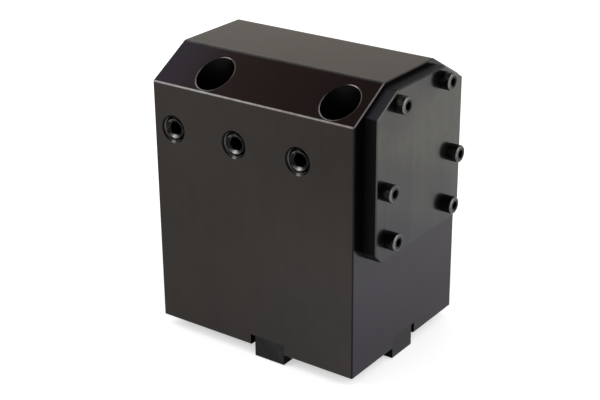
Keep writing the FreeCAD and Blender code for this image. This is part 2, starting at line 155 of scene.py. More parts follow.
class HolderFinish(PropertyGroup):
    """Colours of the steel and the rubber, and of the painted shade and highlights on them."""

    oxide_warm: colour("Oxide Warm", "Brown side of the black finish", (0.0425, 0.037, 0.0335))
    oxide_cool: colour("Oxide Cool", "Blue side of the black finish", (0.0385, 0.0365, 0.0355))
    oxide_violet: colour("Oxide Violet", "Violet bloom of the black finish", (0.0425, 0.0365, 0.034))
    slope_tone: colour("Slope Tone", "Brown finish of the two slopes", (0.039, 0.0245, 0.0235))
    # Lighter and more violet colour towards the slopes' left end
    slope_left_tone: colour("Slope Left Tone", "Violet bloom at the slopes' left end", (0.053, 0.045, 0.058))
    # Right face: its own colour, darkened towards its foot as painted shade; Side Top Tone is its colour
    # under the plate
    side_foot_shade: colour("Side Tone", "Finish of the right face at its foot", (0.0265, 0.0255, 0.039))
    side_top_tone: colour(
        "Side Top Tone", "Finish of the right face under the plate", (0.0445, 0.0445, 0.0565))
    plate_tone: colour("Plate Tone", "Finish of the cover plate", (0.108, 0.106, 0.092))
    plate_cool: colour("Plate Cool", "Bluer clouds on the cover plate", (0.078, 0.075, 0.077))
    # Darker and bluer colour towards the plate's lower edge
    plate_low_tone: colour("Plate Low Tone", "Finish of the plate's lower part", (0.059, 0.057, 0.064))
    # Painted shade on the plate's walls and edges, the slanted wall a little lighter
    plate_wall_shade: colour("Plate Wall", "Finish of the plate's edge", (0.013, 0.013, 0.013))
    plate_slant_shade: colour("Plate Slant", "Finish of the plate's slanted edge", (0.042, 0.040, 0.047))
    key_tone: colour("Key Tone", "Hardened keys", (0.022, 0.022, 0.022))
    honed_bore: colour("Honed Bore", "Steel of the honed bar bore", (0.34, 0.33, 0.32))
    # Painted shade: dark colour inside the bolt wells and clamp holes, on the upright edges and on a thin
    # lower band of the outer faces
    painted_shade_tone: colour("Hole Shade", "Dark oily finish inside the holes", (0.010, 0.010, 0.010))
    screw_tone: colour("Screw Tone", "Black screws", (0.015, 0.015, 0.015))
    grazing_tint: colour("Grazing Tint", "Warm cast of the block's gloss at a low angle", (1.0, 0.95, 0.89))
    edge_tone: colour("Edge Tone", "Finish on the worn edges", (0.041, 0.0385, 0.0365))
    # Worn steel, and also the colour of the painted highlights on rims, edges and screw ends
    bare_steel_and_highlight: colour("Bare Steel", "Steel where the finish has worn off", (0.56, 0.55, 0.53))
    rubber: colour("Rubber", "Seals", (0.012, 0.012, 0.013))
    dusty_rubber: colour("Dusty Rubber", "Bloom on the seals", (0.022, 0.022, 0.024))
    # Painted shade: near black in the screw sockets and on the keys' flanks
    painted_deep_shade: colour("Deep Black", "Oily sockets and flanks of the keys", (0.002, 0.002, 0.002))


class HolderStudio(PropertyGroup):
    """Floor, light and camera."""

    floor_size: FloatProperty(
        name="Floor Size", description="Side of the square floor", default=6.0, min=1.0, subtype="DISTANCE",
        unit="LENGTH")
    world_light: share("World Light", "Strength of the even light from all round", 0.70, 3.0)
    floor_gloss: share("Floor Gloss", "What the floor adds to its own light in the object's gloss", 0.56, 2.0)
    side_gloss: share("Side Gloss", "How bright the room's walls are in the object's gloss", 0.61, 2.0)
    overhead: share("Overhead", "How bright the room's ceiling is in the object's gloss", 0.27, 2.0)
    zenith: share("Zenith", "What a soft light straight overhead adds in the object's gloss", 0.35, 2.0)
    key_power: share("Key Power", "Power of the soft lamp at the front left, in watts", 1.4, 500.0)
    rim_power: share("Rim Power", "Power of the small lamp above it, which lights the rims", 0.9, 500.0)
    fill_power: share("Fill Power", "Power of the soft lamp at the right, in watts", 4.0, 500.0)
    azimuth: angle("Azimuth", "Camera's turn round the object", 35.710)
    elevation: angle("Elevation", "Camera's height above the horizon", 23.577)
    roll: angle("Roll", "Camera's turn about its own axis", -0.470)
    lens: FloatProperty(
        name="Lens", description="Focal length in millimetres for a 36 mm frame", default=84.022, min=10.0)
    camera_place: FloatVectorProperty(
        name="Camera Place", description="Where the camera stands", default=(0.29706, -0.42744, 0.27934),
        subtype="TRANSLATION", unit="LENGTH", precision=5)


# Surfaces on a grid

def grid_faces(rows, columns, first, shift=0):
    """Quads between neighbouring rows of a grid whose columns close into a ring.

    Row i, column j is vertex first + i * columns + j. The last column joins the first column of
    the row that lies shift rows further on, which closes a helix.
    """
    i, j = np.meshgrid(np.arange(rows - 1 - shift), np.arange(columns), indexing="ij")
    i_next = i + np.where(j == columns - 1, shift, 0)
    j_next = (j + 1) % columns
    corners = [i * columns + j, i_next * columns + j_next,
               (i_next + 1) * columns + j_next, (i + 1) * columns + j]
    return first + np.stack(corners, axis=-1).reshape(-1, 4)


def piece_from_grids(name, grids, sharp_angle=30.0):
    """One closed piece from point grids (rows, columns, 3), each with its shift.

    Points that coincide are merged, so grids join where their end rings are the same, and a row
    whose points all meet becomes a pole.
    """
    points, faces, first = [], [], 0
    for grid, shift in grids:
        rows, columns = grid.shape[:2]
        points.append(grid.reshape(-1, 3))
        faces.append(grid_faces(rows, columns, first, shift))
        first += rows * columns
    mesh = bpy.data.meshes.new(name)
    mesh.from_pydata(np.concatenate(points).tolist(), [], np.concatenate(faces).tolist())
    work = bmesh.new()
    work.from_mesh(mesh)
    bmesh.ops.remove_doubles(work, verts=work.verts, dist=2e-7)
    bmesh.ops.dissolve_degenerate(work, dist=1e-7, edges=work.edges)
    loose = [v for v in work.verts if not v.link_faces]
    bmesh.ops.delete(work, geom=loose, context="VERTS")
    bmesh.ops.recalc_face_normals(work, faces=work.faces)
    work.to_mesh(mesh)
    work.free()
    mesh.polygons.foreach_set("use_smooth", np.ones(len(mesh.polygons), dtype=bool))
    mesh.set_sharp_from_angle(angle=math.radians(sharp_angle))
    piece = bpy.data.objects.new(name, mesh)
    bpy.context.scene.collection.objects.link(piece)
    return piece


def angles(columns):
    """Evenly spaced angles round a full turn, one for each column."""
    return np.arange(columns) * 2 * math.pi / columns


def hexagon_radius(turn, across_flats):
    """Radius of a hexagon in each direction: half the flats over the cosine to the nearest flat."""
    sector = math.pi / 3
    return across_flats / 2 / np.cos((turn + sector / 2) % sector - sector / 2)


def turned_rows(rows, columns):
    """Axial and radial arrays and no shift, from rows of (axial place, radius), a radius being one
    number or one for each column."""
    axial = np.array([[place] * columns for place, _ in rows])
    radial = np.array([np.broadcast_to(radius, columns) for _, radius in rows])
    return axial, radial, 0


def place_turned(axial, radial, columns, origin, axis, side):
    """Points at origin + axial * axis + radial * (cos turn * side + sin turn * (axis x side))."""
    turn = angles(columns)
    axis, side = np.array(axis, float), np.array(side, float)
    spoke = np.cos(turn)[:, None] * side + np.sin(turn)[:, None] * np.cross(axis, side)
    return np.array(origin) + axial[..., None] * axis + radial[..., None] * spoke


def turned_piece(name, parts, columns, origin, axis, side):
    """One piece of turned parts, each given as axial and radial arrays and a shift."""
    return piece_from_grids(name, [
        (place_turned(axial, radial, columns, origin, axis, side), shift)
        for axial, radial, shift in parts])


def thread_rows(low, high, pitch, crest, root, columns, swell=0.0):
    """Axial and radial arrays of a helical thread, the shift that closes it, and each point's way to
    the nearer end.

    The rows follow the helix: each lies on one feature of the thread's profile (crest ends, root
    ends and root middle) and climbs one pitch a turn. Places are held between low and high. Swell
    widens the groove along the axis.
    """
    widen = swell / pitch
    features = np.array([1 / 16 - widen, 3 / 8 - widen, 1 / 2, 5 / 8 + widen, 15 / 16 + widen])
    deep = np.array([crest, root, root - 0.03 * (crest - root), root, crest])
    turn = angles(columns) / (2 * math.pi)
    first, last = math.floor(low / pitch) - 2, math.ceil(high / pitch) + 1
    starts = np.repeat(np.arange(first, last + 1), len(features)) + np.tile(features, last - first + 1)
    place = np.clip(pitch * (starts[:, None] + turn[None, :]), low, high)
    wave = (place / pitch - turn[None, :]) % 1.0
    knots = np.concatenate([[features[-1] - 1], features, [features[0] + 1]])
    values = np.concatenate([[deep[-1]], deep, [deep[0]]])
    to_end = np.minimum(place - low, high - place)
    return place, np.interp(wave, knots, values), len(features), to_end


def screw_thread(low, high, pitch, crest, root, end_radius, columns):
    """External thread, cut down at both ends by 45 degree bevels that start at the end radius."""
    place, radius, shift, to_end = thread_rows(low, high, pitch, crest, root, columns)
    return place, np.minimum(radius, end_radius + to_end), shift


# Node trees

class Nodes:
    """Makes the nodes of one tree. A value is a number, a vector, a colour or a node's output."""

    def __init__(self, tree, material=None):
        self.tree, self.material = tree, material

    def plug(self, socket, value):
        """Link an output to a socket, or set the socket's own value."""
        if isinstance(value, bpy.types.NodeSocket):
            self.tree.links.new(value, socket)
        elif socket.type == "RGBA":
            socket.default_value = (*value, 1.0)[:4]
        else:
            socket.default_value = value

    def add(self, kind, inputs=(), **settings):
        """One node. Inputs pairs a socket's name or number with its value."""
        made = self.tree.nodes.new(kind)
        for name, value in settings.items():
            setattr(made, name, value)
        for key, value in dict(inputs).items():
            self.plug(made.inputs[key], value)
        return made

    def maths(self, operation, *values, clamp=False):
        """Result of one Math node."""
        return self.add(
            "ShaderNodeMath", enumerate(values), operation=operation, use_clamp=clamp).outputs[0]

    plus = partialmethod(maths, "ADD")
    minus = partialmethod(maths, "SUBTRACT")
    times = partialmethod(maths, "MULTIPLY")
    scaled = partialmethod(maths, "MULTIPLY_ADD")
    over = partialmethod(maths, "GREATER_THAN")
    under = partialmethod(maths, "LESS_THAN")
    most = partialmethod(maths, "MAXIMUM")
    size = partialmethod(maths, "ABSOLUTE")

    def vector(self, operation, *values):
        """Result of one Vector Math node: a number for LENGTH and DOT_PRODUCT, else a vector."""
        made = self.add("ShaderNodeVectorMath", enumerate(values), operation=operation)
        return made.outputs["Value" if operation in ("LENGTH", "DOT_PRODUCT") else "Vector"]

    def split(self, value):
        """The three parts of a vector."""
        return self.add("ShaderNodeSeparateXYZ", {0: value}).outputs

    def join(self, *parts):
        """A vector from its three parts."""
        return self.add("ShaderNodeCombineXYZ", enumerate(parts)).outputs[0]

    def ramp(self, value, from_low, from_high, to_low=0.0, to_high=1.0):
        """Value carried from one span to another, held at its ends, with soft shoulders."""
        return self.add("ShaderNodeMapRange", {
            "Value": value, "From Min": from_low, "From Max": from_high, "To Min": to_low,
            "To Max": to_high}, interpolation_type="SMOOTHSTEP").outputs[0]

    def blend(self, factor, first, second, blend_type="MIX"):
        """Result of one colour Mix node."""
        return self.add("ShaderNodeMix", {0: factor, 6: first, 7: second}, data_type="RGBA",
                        blend_type=blend_type).outputs[2]

    def shade(self, colours, gain):
        """Colours times a number."""
        return self.blend(1.0, colours, self.join(gain, gain, gain), "MULTIPLY")

    def noise(self, coordinates, scale, detail=3.0, roughness=0.5):
        """Value of a noise texture."""
        return self.add("ShaderNodeTexNoise", {
            "Vector": coordinates, "Scale": scale, "Detail": detail,
            "Roughness": roughness}).outputs[0]

    def feed(self, node, **sockets):
        """Values for a node's sockets by name. Underscores stand for spaces."""
        for name, value in sockets.items():
            self.plug(node.inputs[name.replace("_", " ")], value)
        return node

    def group(self, name, **inputs):
        """Outputs of a shared group, which is built at its first use."""
        shared = bpy.data.node_groups.get(name) or GROUPS[name]()
        return self.feed(self.add("ShaderNodeGroup", node_tree=shared), **inputs).outputs

    def roughen(self, shader, height):
        """Bump the shader with a height in millimetres."""
        bump = self.add("ShaderNodeBump", {"Height": height, "Distance": MM})
        self.plug(shader.inputs["Normal"], bump.outputs[0])


def new_group(name, outputs, **inputs):
    """Empty shader node group: its maker, its input and its output sockets.

    An input's default tells its kind: a number, a vector of three or a colour of four parts.
    """
    kinds = {3: "NodeSocketVector", 4: "NodeSocketColor"}
    tree = bpy.data.node_groups.new(name, "ShaderNodeTree")
    for label, default in inputs.items():
        kind = kinds[len(default)] if isinstance(default, tuple) else "NodeSocketFloat"
        socket = tree.interface.new_socket(label.replace("_", " "), in_out="INPUT", socket_type=kind)
        socket.default_value = default
    for label in outputs:
        kind = "NodeSocketColor" if label == "Color" else "NodeSocketFloat"
        tree.interface.new_socket(label, in_out="OUTPUT", socket_type=kind)
    enter = tree.nodes.new("NodeGroupInput")
    leave = tree.nodes.new("NodeGroupOutput")
    return Nodes(tree), enter.outputs, leave.inputs


def edge_wear_group():
    """Worn edges of a block with two slopes on top.

    Each point's depth under every bounding plane gives a mask that is 1 in the bevel and falls to 0
    over the fade. Two masks at once mean an edge, so the sum less one is the wear. The upright edges,
    where the two level masks meet, are taken out of it and put out apart, like the slopes' mask.
    """
    make, put, out = new_group(
        "Edge Wear", ["Wear", "Upright", "Slope"], Vector=(0, 0, 0), Centre=(0, 0, 0), Half_Size=(1, 1, 1),
        Slope_Distance=10.0, Bevel=0.0004, Fade=0.0002, Break_Up=0.3)
    reach = make.plus(put["Bevel"], put["Fade"])
    offset = make.vector("SUBTRACT", put["Vector"], put["Centre"])
    depth = make.vector("SUBTRACT", put["Half Size"], make.vector("ABSOLUTE", offset))
    parts = make.split(depth)
    level = make.vector("ABSOLUTE", put["Vector"])
    slope = make.vector("DOT_PRODUCT", level, (0.0, math.sin(SLOPE), math.cos(SLOPE)))
    slope_depth = make.minus(put["Slope Distance"], slope)
    masks = [make.maths("DIVIDE", make.minus(reach, part), put["Fade"], clamp=True)
             for part in (parts[0], parts[1], parts[2], slope_depth)]
    total = make.plus(make.plus(masks[0], masks[1]), make.plus(masks[2], masks[3]))
    upright = make.times(masks[0], masks[1])
    edge = make.minus(total, make.plus(1.0, upright), clamp=True)
    patch = make.noise(put["Vector"], 260.0, 4.0, 0.6)
    worn = make.ramp(patch, 0.35, 0.62)
    kept = make.times(put["Break Up"], make.minus(1.0, worn))
    make.plug(out["Wear"], make.times(edge, make.minus(1.0, kept)))
    make.plug(out["Upright"], upright)
    make.plug(out["Slope"], make.minus(masks[3], masks[2], clamp=True))
    return make.tree


def hole_rim_group():
    """Rim of a round hole: 1 at the radius, 0 a width further out, and 1 all over the inside."""
    make, put, out = new_group(
        "Hole Rim", ["Rim", "Inside", "Distance"], Vector=(0, 0, 0), Centre=(0, 0, 0), Across=(1, 1, 0),
        Radius=0.005, Width=0.0004)
    offset = make.vector("SUBTRACT", put["Vector"], put["Centre"])
    distance = make.vector("LENGTH", make.vector("MULTIPLY", offset, put["Across"]))
    reach = make.plus(put["Radius"], put["Width"])
    make.plug(out["Rim"], make.maths("DIVIDE", make.minus(reach, distance), put["Width"], clamp=True))
    near = make.minus(make.plus(put["Radius"], 0.04 * MM), distance)
    make.plug(out["Inside"], make.over(near, 0.0))
    make.plug(out["Distance"], distance)
    return make.tree


def ground_grain_group():
    """Fine lines of a ground face, long along one direction, with a slow change of tone."""
    make, put, out = new_group(
        "Ground Grain", ["Height", "Tone"], Vector=(0, 0, 0), Stretch=(1, 1, 1), Scale=1500.0)
    lines = make.vector("MULTIPLY", put["Vector"], put["Stretch"])
    fine = make.noise(lines, put["Scale"], 3.0, 0.6)
    broad = make.noise(lines, make.times(put["Scale"], 0.22), 2.0, 0.5)
    speck = make.noise(put["Vector"], make.times(put["Scale"], 1.7), 1.0, 0.5)
    make.plug(out["Height"], make.plus(make.times(fine, 0.7), make.times(speck, 0.3)))
    make.plug(out["Tone"], make.plus(make.times(fine, 0.45), make.times(broad, 0.55)))
    return make.tree


def turned_rings_group():
    """Tool marks of a turned or bored surface: a fine wave along the axis, uneven from ring to ring."""
    make, put, out = new_group("Turned Rings", ["Height", "Tone"], Along=0.0, Pitch=0.0002)
    steps = make.maths("DIVIDE", put["Along"], put["Pitch"])
    wave = make.maths("SINE", make.times(steps, 2 * math.pi))
    ring = make.add(
        "ShaderNodeTexNoise", {"W": steps, "Scale": 0.37, "Detail": 3.0}, noise_dimensions="1D").outputs[0]
    make.plug(out["Height"], make.times(make.plus(make.times(wave, 0.25), ring), 0.8))
    make.plug(out["Tone"], ring)
    return make.tree


def oxide_bloom_group():
    """Uneven black finish: slow clouds from warm through violet to cool, and a mottle of tone."""
    make, put, out = new_group(
        "Oxide Bloom", ["Color", "Mottling"], Vector=(0, 0, 0), Warm=(0.04, 0.04, 0.03, 1),
        Violet=(0.04, 0.03, 0.04, 1), Cool=(0.03, 0.03, 0.04, 1), Scale=14.0, Mottle=0.15)
    cloud = make.noise(put["Vector"], put["Scale"], 2.0, 0.45)
    warm_violet = make.blend(make.ramp(cloud, 0.36, 0.54), put["Warm"], put["Violet"])
    tint = make.blend(make.ramp(cloud, 0.50, 0.68), warm_violet, put["Cool"])
    mottle = make.noise(put["Vector"], make.times(put["Scale"], 9.0), 5.0, 0.62)
    spread = make.times(make.minus(mottle, 0.5), put["Mottle"])
    gain = make.scaled(spread, 2.0, 1.0)
    make.plug(out["Color"], make.shade(tint, gain))
    make.plug(out["Mottling"], mottle)
    return make.tree


def handling_marks_group():
    """Faint smears from handling, for roughness."""
    make, put, out = new_group("Handling Marks", ["Smear"], Vector=(0, 0, 0), Scale=60.0)
    smear = make.ramp(make.noise(put["Vector"], put["Scale"], 4.0, 0.6), 0.46, 0.74)
    make.plug(out["Smear"], smear)
    return make.tree


def new_material(name):
    """Node material: its maker, its Principled shader and the object's own coordinates."""
    material = bpy.data.materials.new(name)
    material.use_nodes = True
    make = Nodes(material.node_tree, material)
    shader = material.node_tree.nodes["Principled BSDF"]
    return make, shader, make.add("ShaderNodeTexCoord").outputs["Object"]


def block_steel(finish):
    """Black oxide on ground steel, with bored, drilled and worn places, and painted light and shade."""
    make, shader, where = new_material("Block Black Oxide")
    x, y, z = make.split(where)
    centre = (BLOCK_LOW + BLOCK_HIGH) / 2
    top = BLOCK_HIGH.z
    half = ((BLOCK_HIGH.x - BLOCK_LOW.x) / 2, (BLOCK_HIGH.y - BLOCK_LOW.y) / 2, top / 2)
    edges = make.group(
        "Edge Wear", Vector=where, Centre=(centre.x, centre.y, top / 2), Half_Size=half,
        Slope_Distance=SLOPE_REACH, Bevel=BEVEL, Fade=0.16 * MM, Break_Up=0.45)
    bloom = make.group(
        "Oxide Bloom", Vector=where, Warm=finish.oxide_warm, Violet=finish.oxide_violet,
        Cool=finish.oxide_cool, Scale=13.0, Mottle=0.10)
    grain = make.group("Ground Grain", Vector=where, Stretch=(1.0, 1.0, 0.05), Scale=1900.0)
    marks = make.group("Handling Marks", Vector=where, Scale=45.0)

    # The right face gets its own colour, with painted shade darkening it from under the plate down to its
    # foot
    side = make.ramp(x, BLOCK_HIGH.x - 0.5 * MM, BLOCK_HIGH.x - 0.2 * MM)
    side_colour = make.blend(make.ramp(z, 0.0, 0.050), finish.side_foot_shade, finish.side_top_tone)
    mottled = make.scaled(make.minus(bloom["Mottling"], 0.5), 0.25, 1.0)
    side_colour = make.shade(side_colour, mottled)
    # The slopes turn lighter and more violet towards their left end
    slope_colour = make.blend(make.ramp(x, -0.050, -0.020), finish.slope_left_tone, finish.slope_tone)
    tint = make.blend(edges["Slope"], bloom["Color"], slope_colour)
    tint = make.blend(side, tint, side_colour)
    # Painted light and shade: brighter towards the lower right, darker towards the lower left, a little the
    # other way near the top, and darker towards the top overall
    painted_light_drift = make.scaled(
        make.ramp(x, -0.045, 0.045, -1.0, 1.0), make.ramp(z, 0.045, 0.085, 0.13, -0.06),
        make.ramp(z, 0.030, 0.090, 1.08, 0.94))
    tone = make.scaled(make.minus(grain["Tone"], 0.5), 0.22, painted_light_drift)
    tint = make.shade(tint, tone)

    wells = make.group(
        "Hole Rim", Vector=make.vector("ABSOLUTE", where), Centre=(WELL_PLACE, WELL_PLACE, 0.0),
        Across=(1.0, 1.0, 0.0), Radius=WELL_RADIUS, Width=0.60 * MM)
    signs = make.join(make.maths("SIGN", x), make.maths("SIGN", y), 0.0)
    well_middle = make.vector("MULTIPLY", signs, (WELL_PLACE, WELL_PLACE, 0.0))
    # Painted highlight: bare steel on the bolt wells' rims as a lit crescent, strongest on their front left
    # side and weaker on their back right side
    lean = make.vector("DOT_PRODUCT", make.vector("SUBTRACT", where, well_middle), (-0.6, -0.8, 0.0))
    rim_painted_highlight = make.plus(
        make.ramp(lean, 2.0 * MM, WELL_RADIUS), make.ramp(lean, -3.0 * MM, -WELL_RADIUS, 0.0, 0.3))
    well_rim = make.minus(wells["Rim"], wells["Inside"], clamp=True)
    well_rim = make.times(make.over(z, WELL_FLOOR), well_rim)
    well_wall = make.times(wells["Inside"], make.over(z, 0.1 * MM))

    row = make.maths("ROUND", make.maths("DIVIDE", make.minus(x, CLAMP_FIRST), CLAMP_STEP))
    row = make.maths("MINIMUM", make.most(row, 0.0), 2.0)
    hole_x = make.scaled(row, CLAMP_STEP, CLAMP_FIRST)
    from_hole = make.join(make.minus(x, hole_x), y, z)
    clamps = make.group(
        "Hole Rim", Vector=from_hole, Centre=(0.0, 0.0, BORE_HEIGHT), Across=(1.0, 0.0, 1.0),
        Radius=CLAMP_RIM, Width=0.12 * MM)
    front = make.under(y, BLOCK_LOW.y + 0.75 * MM)
    clamp_cone = make.times(clamps["Inside"], front)
    # Painted highlight: the lower part of each clamp hole's cone is lit with bare steel
    clamp_cone_highlight = make.times(clamp_cone, make.ramp(z, BORE_HEIGHT - 4.3 * MM, BORE_HEIGHT - 5.3 * MM))

    bore = make.group(
        "Hole Rim", Vector=where, Centre=(0.0, 0.0, BORE_HEIGHT), Across=(0.0, 1.0, 1.0),
        Radius=BORE_RADIUS, Width=1.02 * MM)
    rings = make.group("Turned Rings", Along=x, Pitch=0.22 * MM)
    drilled = make.group("Turned Rings", Along=z, Pitch=0.3 * MM)

    # Edge wear, partly painted highlight: bare steel along the edges, more towards the left, and extra along
    # the right face's and the top's edges to stand for lit bevel lines
    edge_wear_and_highlight = make.plus(
        make.ramp(x, -0.045, 0.030, 0.085, 0.035),
        make.times(make.most(make.over(x, BLOCK_HIGH.x - 0.40 * MM), make.over(z, top - 0.35 * MM)), 0.045))
    wear = make.times(edges["Wear"], edge_wear_and_highlight)
    wear = make.most(wear, make.times(clamp_cone_highlight, 0.08))
    wear = make.most(wear, make.times(well_rim, rim_painted_highlight))
    tint = make.blend(edges["Wear"], tint, finish.edge_tone)
    # Painted shade: the upright edges and a thin band inside the outer faces' lower 10 mm are darkened, and
    # the clamp holes' cones and the wells' walls are made dark
    across_x = make.size(make.minus(x, centre.x))
    across_y = make.size(make.minus(y, centre.y))
    lip = make.most(
        make.maths("COMPARE", across_x, half[0] - 0.25 * MM, 0.2 * MM),
        make.maths("COMPARE", across_y, half[1] - 0.25 * MM, 0.2 * MM))
    lip = make.times(lip, make.under(z, 10.0 * MM))
    tint = make.blend(make.times(make.most(edges["Upright"], lip), 0.75), tint, finish.painted_shade_tone)
    tint = make.blend(make.most(clamp_cone, well_wall), tint, finish.painted_shade_tone)
    tint = make.blend(wear, tint, finish.bare_steel_and_highlight)
    tint = make.blend(make.times(bore["Inside"], 0.75), tint, finish.honed_bore)

    plain = make.minus(1.0, make.most(bore["Inside"], well_wall), clamp=True)
    height = make.times(make.times(grain["Height"], plain), 0.0009)
    height = make.scaled(make.times(rings["Height"], bore["Inside"]), 0.004, height)
    height = make.scaled(make.times(drilled["Height"], well_wall), 0.006, height)
    well_dip = make.scaled(well_rim, 1.67, -0.67, clamp=True)
    well_dip = make.times(well_dip, make.scaled(rim_painted_highlight, 0.7, 0.3))
    height = make.scaled(well_dip, -0.30, height)
    rough = make.scaled(marks["Smear"], 0.05, 0.17)
    rough = make.scaled(make.minus(grain["Tone"], 0.5), 0.10, rough)
    rough = make.scaled(well_wall, 0.25, rough)
    make.feed(shader, Base_Color=tint, Metallic=1.0, Roughness=rough, Specular_Tint=finish.grazing_tint)
    make.roughen(shader, height)
    return make.material


def plate_steel(finish):
    """Lighter oxide of the cover plate, darker and bluer towards its lower edge, with painted shade on its
    walls and edges.
    """
    make, shader, where = new_material("Plate Black Oxide")
    x, y, z = make.split(where)
    half = (PLATE_HIGH - PLATE_LOW) / 2
    edges = make.group(
        "Edge Wear", Vector=where, Centre=tuple((PLATE_LOW + PLATE_HIGH) / 2), Half_Size=tuple(half),
        Slope_Distance=SLOPE_REACH - PLATE_MARGIN, Bevel=BEVEL, Fade=0.16 * MM, Break_Up=0.5)
    bloom = make.group(
        "Oxide Bloom", Vector=where, Warm=finish.plate_tone, Violet=finish.plate_tone,
        Cool=finish.plate_cool, Scale=22.0, Mottle=0.12)
    grain = make.group("Ground Grain", Vector=where, Stretch=(1.0, 1.0, 0.05), Scale=1900.0)
    marks = make.group("Handling Marks", Vector=where, Scale=70.0)
    streak = make.noise(make.vector("MULTIPLY", where, (0.0, 1.0, 0.12)), 190.0, 2.0, 0.5)
    slant = make.scaled(y, 0.42, z)
    lower = make.plus(make.ramp(slant, 0.092, 0.070, 0.0, 0.6), make.ramp(slant, 0.062, 0.048, 0.0, 0.4))
    lower = make.scaled(make.minus(streak, 0.5), 0.7, lower, clamp=True)
    tint = make.blend(lower, bloom["Color"], finish.plate_low_tone)
    tone = make.scaled(make.minus(grain["Tone"], 0.5), 0.3, 1.0)
    tint = make.shade(tint, tone)
    # Painted shade: the plate's side walls are dark and the slanted wall a little lighter
    outer = make.over(x, PLATE_HIGH.x - 0.5 * MM)
    slanted = make.times(make.under(z, PLATE_HIGH.z - 0.2 * MM), make.over(z, PLATE_SHOULDER))
    wall_tint = make.blend(slanted, finish.plate_wall_shade, finish.plate_slant_shade)
    side_tint = make.blend(outer, wall_tint, tint)
    # Painted shade: the plate's edges are darkened towards the wall colour
    tint = make.blend(make.times(edges["Wear"], 0.35), side_tint, finish.plate_wall_shade)
    rough = make.ramp(x, PLATE_HIGH.x - 0.5 * MM, PLATE_HIGH.x - 0.3 * MM, 0.55, 0.19)
    rough = make.scaled(marks["Smear"], 0.06, rough)
    rough = make.scaled(make.minus(grain["Tone"], 0.5), 0.12, rough)
    make.feed(shader, Base_Color=tint, Metallic=1.0, Roughness=rough)
    make.roughen(shader, make.times(grain["Height"], 0.0012))
    return make.material


def key_steel(finish, key):
    """Hardened and ground key, a little duller than the block, with painted shade on its flanks.

    The flanks are the two faces that guide the holder, level with the key's length.
    """
    low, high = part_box(key)
    flank_axis = 0 if key in ("key_front", "key_back") else 1
    make, shader, where = new_material(f"Hardened {key.replace('_', ' ').title()}")
    edges = make.group(
        "Edge Wear", Vector=where, Centre=tuple((low + high) / 2), Half_Size=tuple((high - low) / 2),
        Bevel=BEVEL, Fade=0.15 * MM, Break_Up=0.6)
    bloom = make.group(
        "Oxide Bloom", Vector=where, Warm=finish.key_tone, Violet=finish.key_tone, Cool=finish.oxide_cool,
        Scale=60.0, Mottle=0.3)
    grain = make.group("Ground Grain", Vector=where, Stretch=(0.1, 0.1, 1.0), Scale=2200.0)
    places = make.split(where)
    lower = make.under(places[2], (low.z + high.z) / 2)
    wear = make.times(make.times(edges["Wear"], lower), 0.14)
    tint = make.blend(wear, bloom["Color"], finish.bare_steel_and_highlight)
    # Painted shade: the flanks are darkened nearly to black
    off_centre = make.size(make.minus(places[flank_axis], (low[flank_axis] + high[flank_axis]) / 2))
    flank = make.over(off_centre, (high[flank_axis] - low[flank_axis]) / 2 - 0.05 * MM)
    tint = make.blend(make.times(flank, 0.85), tint, finish.painted_deep_shade)
    rough = make.scaled(grain["Tone"], 0.2, 0.2)
    rough = make.scaled(flank, 0.5, rough)
    make.feed(shader, Base_Color=tint, Metallic=1.0, Roughness=rough)
    make.roughen(shader, make.times(grain["Height"], 0.003))
    return make.material


def screw_steel(finish, name, centre, axis, radius, socket, ring_wear_and_highlight, cone_highlight):
    """Black screw: the worn ring of its outer end with a painted highlight, tool marks across the end,
    painted shade in its socket.

    Socket pairs the hexagon's corner radius with the depth where it starts. The ring's wear and
    painted highlight are strongest at the front and above. Cone highlight paints a highlight on the
    upper and lower parts of the bevel round the socket.
    """
    make, shader, where = new_material(name)
    across = tuple(1.0 - abs(part) for part in axis)
    rim = make.group("Hole Rim", Vector=where, Centre=centre, Across=across, Radius=radius, Width=0.2 * MM)
    outer = Vector(centre).dot(axis)
    along = make.vector("DOT_PRODUCT", where, tuple(axis))
    end = make.ramp(along, outer - 0.55 * MM, outer - 0.30 * MM)
    rings = make.group("Turned Rings", Along=rim["Distance"], Pitch=0.18 * MM)
    bloom = make.group(
        "Oxide Bloom", Vector=where, Warm=finish.screw_tone, Violet=finish.screw_tone,
        Cool=finish.oxide_cool, Scale=300.0, Mottle=0.4)
    marks = make.group("Handling Marks", Vector=where, Scale=300.0)
    # Wear with a painted highlight: bare steel on the outer end's ring, strongest towards the front and the
    # top
    outside = make.ramp(rim["Distance"], radius - 1.3 * MM, radius - 0.7 * MM)
    lean = make.vector("DOT_PRODUCT", make.vector("SUBTRACT", where, centre), (0.0, -0.85, 0.53))
    worn = make.times(make.times(end, outside), make.ramp(lean, -0.6 * radius, 0.8 * radius, 0.15, 1.0))
    worn = make.times(worn, make.ramp(marks["Smear"], 0.9, 0.1, 0.35, 1.0))
    height_off = make.size(make.minus(make.split(where)[2], centre[2]))
    # Painted shade: the socket is made nearly black
    corner, start = socket
    deep = make.times(
        make.under(rim["Distance"], corner + 0.03 * MM), make.under(along, outer - start + 0.04 * MM))
    # Painted highlight on the upper and lower parts of the socket's bevel
    polish = make.ramp(height_off, 2.0 * MM, 3.3 * MM, 0.0, cone_highlight)
    cone = make.times(make.ramp(along, outer - 1.0 * MM, outer - 0.7 * MM),
                      make.times(make.under(rim["Distance"], radius - 1.1 * MM), polish))
    worn = make.most(make.times(worn, ring_wear_and_highlight), cone)
    tint = make.blend(worn, bloom["Color"], finish.bare_steel_and_highlight)
    tint = make.blend(deep, tint, finish.painted_deep_shade)
    rough = make.scaled(marks["Smear"], 0.12, 0.26)
    rough = make.scaled(deep, 0.4, rough)
    make.feed(shader, Base_Color=tint, Metallic=1.0, Roughness=rough)
    make.roughen(shader, make.times(make.times(rings["Height"], end), 0.005))
    return make.material


